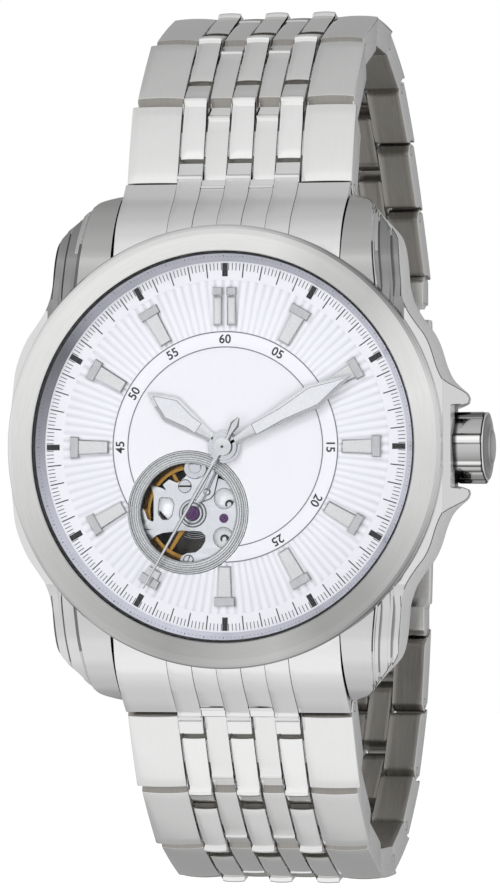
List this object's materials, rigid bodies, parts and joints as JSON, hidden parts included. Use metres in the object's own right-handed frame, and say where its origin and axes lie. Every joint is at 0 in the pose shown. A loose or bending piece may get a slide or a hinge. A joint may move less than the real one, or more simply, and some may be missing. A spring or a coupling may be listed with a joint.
{
  "type": "automatic wristwatch",
  "caption": "Automatic wristwatch with an open-heart dial, fluted crown and a jointed steel bracelet closed by a folding clasp.",
  "frame": {"origin": "centre of the case back's outer face", "axes": "+Z towards 12 o'clock, the dial faces -Y, +X towards the crown at 3 o'clock, +Y out of the case back"},
  "size_m": [0.0465, 0.0587, 0.0845],
  "materials": {
    "case_polished": "polished stainless steel with satin flanks",
    "bezel_satin": "circular satin brushed steel, polished edge",
    "sapphire": "clear, slightly domed, anti-reflective",
    "seal_black": "matt black sealing ring",
    "rehaut": "polished inner ring mirroring the dial",
    "dial_silver": "silver-white, radially pleated outer zone, satin centre, black printed track",
    "aperture_ring": "fine concentric grooves",
    "rhodium_plate": "rhodium plated, fine grain",
    "steel_parts": "ground steel",
    "spacer": "dark grey moulded spacer",
    "hand_steel": "polished steel with pale luminous inlay",
    "wheel_brass": "gilt brass",
    "balance_gold": "polished gilt rim",
    "hairspring_steel": "bluish spring alloy",
    "rotor_plate": "plated, striped",
    "crown_steel": "polished fluted steel",
    "bracelet_polished": "polished steel, bevelled edges, brushed inner faces",
    "clasp_satin": "satin brushed steel blades"
  },
  "bodies": {
    "head": {"mid_case": "case_polished", "bezel": "bezel_satin", "crystal": "sapphire", "crystal_gasket": "seal_black", "rehaut_ring": "rehaut", "dial": "dial_silver", "aperture_ring": "aperture_ring", "balance_cock": "rhodium_plate", "regulator": "steel_parts", "mainplate": "rhodium_plate", "train_bridge": "rhodium_plate", "movement_ring": "spacer", "case_back": "case_polished", "case_back_crystal": "sapphire", "case_back_gasket": "seal_black", "crown_tube": "steel_parts", "end_link_top": "bracelet_polished", "end_link_bottom": "bracelet_polished", "spring_bar_top": "steel_parts", "spring_bar_bottom": "steel_parts"},
    "seconds": {"fourth_wheel": "wheel_brass", "seconds_hand": "hand_steel"},
    "minute": {"center_wheel": "wheel_brass", "cannon_pinion": "steel_parts", "minute_hand": "hand_steel"},
    "hour": {"hour_wheel": "wheel_brass", "hour_hand": "hand_steel"},
    "minute_wheel": {"minute_wheel": "wheel_brass"},
    "third_wheel": {"third_wheel": "wheel_brass"},
    "escape_wheel": {"escape_wheel": "steel_parts"},
    "barrel": {"mainspring_barrel": "wheel_brass"},
    "pallet_fork": {"pallet_fork": "steel_parts"},
    "balance": {"balance_wheel": "balance_gold", "hairspring": "hairspring_steel"},
    "rotor": {"rotor": "rotor_plate"},
    "crown_pull": {"crown_gasket": "seal_black"},
    "crown": {"crown": "crown_steel", "winding_stem": "steel_parts"},
    "link_top_1": {"link_top_1": "bracelet_polished"},
    "link_top_2": {"link_top_2": "bracelet_polished"},
    "link_top_3": {"link_top_3": "bracelet_polished"},
    "link_top_4": {"link_top_4": "bracelet_polished"},
    "link_top_5": {"link_top_5": "bracelet_polished"},
    "link_top_6": {"link_top_6": "bracelet_polished"},
    "link_top_7": {"link_top_7": "bracelet_polished"},
    "link_top_8": {"link_top_8": "bracelet_polished"},
    "link_bottom_1": {"link_bottom_1": "bracelet_polished"},
    "link_bottom_2": {"link_bottom_2": "bracelet_polished"},
    "link_bottom_3": {"link_bottom_3": "bracelet_polished"},
    "link_bottom_4": {"link_bottom_4": "bracelet_polished"},
    "link_bottom_5": {"link_bottom_5": "bracelet_polished"},
    "link_bottom_6": {"link_bottom_6": "bracelet_polished"},
    "link_bottom_7": {"link_bottom_7": "bracelet_polished"},
    "link_bottom_8": {"link_bottom_8": "bracelet_polished"},
    "clasp_inner": {"clasp_inner_blade": "clasp_satin"},
    "clasp_middle": {"clasp_middle_blade": "clasp_satin"},
    "clasp_outer": {"clasp_cover": "bracelet_polished"},
    "button_right": {"clasp_button_right": "crown_steel"},
    "button_left": {"clasp_button_left": "crown_steel"}
  },
  "joints": [
    {"name": "seconds_turn", "type": "hinge", "parent": "head", "child": "seconds", "pos_m": [0, -0.009, 0], "axis": [0, 1, 0], "continuous": true},
    {"name": "minute_turn", "type": "hinge", "parent": "head", "child": "minute", "pos_m": [0, -0.009, 0], "axis": [0, 1, 0], "continuous": true},
    {"name": "hour_turn", "type": "hinge", "parent": "head", "child": "hour", "pos_m": [0, -0.009, 0], "axis": [0, 1, 0], "continuous": true},
    {"name": "minute_wheel_turn", "type": "hinge", "parent": "head", "child": "minute_wheel", "pos_m": [0.0015, -0.008, 0.0026], "axis": [0, 1, 0], "continuous": true},
    {"name": "third_wheel_turn", "type": "hinge", "parent": "head", "child": "third_wheel", "pos_m": [-0.0022, -0.006, 0.00334], "axis": [0, 1, 0], "continuous": true},
    {"name": "escape_wheel_turn", "type": "hinge", "parent": "head", "child": "escape_wheel", "pos_m": [0.0009, -0.006, -0.0038], "axis": [0, 1, 0], "continuous": true},
    {"name": "barrel_turn", "type": "hinge", "parent": "head", "child": "barrel", "pos_m": [0.00668, -0.006, 0.0027], "axis": [0, 1, 0], "continuous": true},
    {"name": "pallet_fork_swing", "type": "hinge", "parent": "head", "child": "pallet_fork", "pos_m": [-0.00086, -0.0052, -0.00474], "axis": [0, 1, 0], "range_deg": [-5, 5]},
    {"name": "balance_swing", "type": "hinge", "parent": "head", "child": "balance", "pos_m": [-0.0036, -0.007, -0.0062], "axis": [0, 1, 0], "range_deg": [-270, 270], "stiffness_Nm_per_rad": 0.000001, "deforming": ["hairspring"]},
    {"name": "rotor_turn", "type": "hinge", "parent": "head", "child": "rotor", "pos_m": [0, -0.003, 0], "axis": [0, 1, 0], "continuous": true},
    {"name": "crown_pull_slide", "type": "slide", "parent": "head", "child": "crown_pull", "axis": [1, 0, 0], "range_m": [0, 0.0012]},
    {"name": "crown_turn", "type": "hinge", "parent": "crown_pull", "child": "crown", "pos_m": [0.023, -0.0052, 0], "axis": [1, 0, 0], "continuous": true},
    {"name": "link_top_1_hinge", "type": "hinge", "parent": "head", "child": "link_top_1", "pos_m": [0, -0.0022, 0.0247], "axis": [1, 0, 0], "range_deg": [0, 16.11]},
    {"name": "link_top_2_hinge", "type": "hinge", "parent": "link_top_1", "child": "link_top_2", "pos_m": [0, 0.00005, 0.03248], "axis": [1, 0, 0], "range_deg": [0, 30.98]},
    {"name": "link_top_3_hinge", "type": "hinge", "parent": "link_top_2", "child": "link_top_3", "pos_m": [0, 0.00568, 0.0383], "axis": [1, 0, 0], "range_deg": [0, 28.86]},
    {"name": "link_top_4_hinge", "type": "hinge", "parent": "link_top_3", "child": "link_top_4", "pos_m": [0, 0.01329, 0.04108], "axis": [1, 0, 0], "range_deg": [0, 28.31]},
    {"name": "link_top_5_hinge", "type": "hinge", "parent": "link_top_4", "child": "link_top_5", "pos_m": [0, 0.02136, 0.04033], "axis": [1, 0, 0], "range_deg": [0, 26]},
    {"name": "link_top_6_hinge", "type": "hinge", "parent": "link_top_5", "child": "link_top_6", "pos_m": [0, 0.02849, 0.0365], "axis": [1, 0, 0], "range_deg": [0, 20.65]},
    {"name": "link_top_7_hinge", "type": "hinge", "parent": "link_top_6", "child": "link_top_7", "pos_m": [0, 0.03413, 0.03068], "axis": [1, 0, 0], "range_deg": [0, 10.38]},
    {"name": "link_top_8_hinge", "type": "hinge", "parent": "link_top_7", "child": "link_top_8", "pos_m": [0, 0.03897, 0.02419], "axis": [1, 0, 0], "range_deg": [0, 6.82]},
    {"name": "link_bottom_1_hinge", "type": "hinge", "parent": "head", "child": "link_bottom_1", "pos_m": [0, -0.0022, -0.0247], "axis": [-1, 0, 0], "range_deg": [0, 25]},
    {"name": "link_bottom_2_hinge", "type": "hinge", "parent": "link_bottom_1", "child": "link_bottom_2", "pos_m": [0, 0.00172, -0.03179], "axis": [-1, 0, 0], "range_deg": [0, 22.13]},
    {"name": "link_bottom_3_hinge", "type": "hinge", "parent": "link_bottom_2", "child": "link_bottom_3", "pos_m": [0, 0.00774, -0.0372], "axis": [-1, 0, 0], "range_deg": [0, 22.02]},
    {"name": "link_bottom_4_hinge", "type": "hinge", "parent": "link_bottom_3", "child": "link_bottom_4", "pos_m": [0, 0.0152, -0.04036], "axis": [-1, 0, 0], "range_deg": [0, 26.04]},
    {"name": "link_bottom_5_hinge", "type": "hinge", "parent": "link_bottom_4", "child": "link_bottom_5", "pos_m": [0, 0.0233, -0.04034], "axis": [-1, 0, 0], "range_deg": [0, 24.72]},
    {"name": "link_bottom_6_hinge", "type": "hinge", "parent": "link_bottom_5", "child": "link_bottom_6", "pos_m": [0, 0.03082, -0.03733], "axis": [-1, 0, 0], "range_deg": [0, 21.61]},
    {"name": "link_bottom_7_hinge", "type": "hinge", "parent": "link_bottom_6", "child": "link_bottom_7", "pos_m": [0, 0.03699, -0.03207], "axis": [-1, 0, 0], "range_deg": [0, 20.37]},
    {"name": "link_bottom_8_hinge", "type": "hinge", "parent": "link_bottom_7", "child": "link_bottom_8", "pos_m": [0, 0.0413, -0.02522], "axis": [-1, 0, 0], "range_deg": [0, 20.37]},
    {"name": "clasp_pivot", "type": "hinge", "parent": "link_top_8", "child": "clasp_inner", "pos_m": [0, 0.04337, 0.01739], "axis": [1, 0, 0], "range_deg": [0, 35.89]},
    {"name": "clasp_blade_hinge", "type": "hinge", "parent": "clasp_inner", "child": "clasp_middle", "pos_m": [0, 0.04325, -0.01279], "axis": [-1, 0, 0], "range_deg": [0, 105]},
    {"name": "clasp_cover_hinge", "type": "hinge", "parent": "clasp_middle", "child": "clasp_outer", "pos_m": [0, 0.04456, 0.01349], "axis": [1, 0, 0], "range_deg": [0, 120]},
    {"name": "clasp_button_right_press", "type": "slide", "parent": "clasp_outer", "child": "button_right", "axis": [-1, 0, 0], "range_m": [0, 0.0006], "stiffness_N_per_m": 400},
    {"name": "clasp_button_left_press", "type": "slide", "parent": "clasp_outer", "child": "button_left", "axis": [1, 0, 0], "range_m": [0, 0.0006], "stiffness_N_per_m": 400}
  ],
  "couplings": [
    {"joint": "minute_turn", "follows": "seconds_turn", "ratio": 0.016667},
    {"joint": "hour_turn", "follows": "seconds_turn", "ratio": 0.0013889},
    {"joint": "minute_wheel_turn", "follows": "seconds_turn", "ratio": -0.0055556},
    {"joint": "third_wheel_turn", "follows": "seconds_turn", "ratio": -0.13333},
    {"joint": "escape_wheel_turn", "follows": "seconds_turn", "ratio": -12},
    {"joint": "barrel_turn", "follows": "seconds_turn", "ratio": -0.0018519}
  ]
}
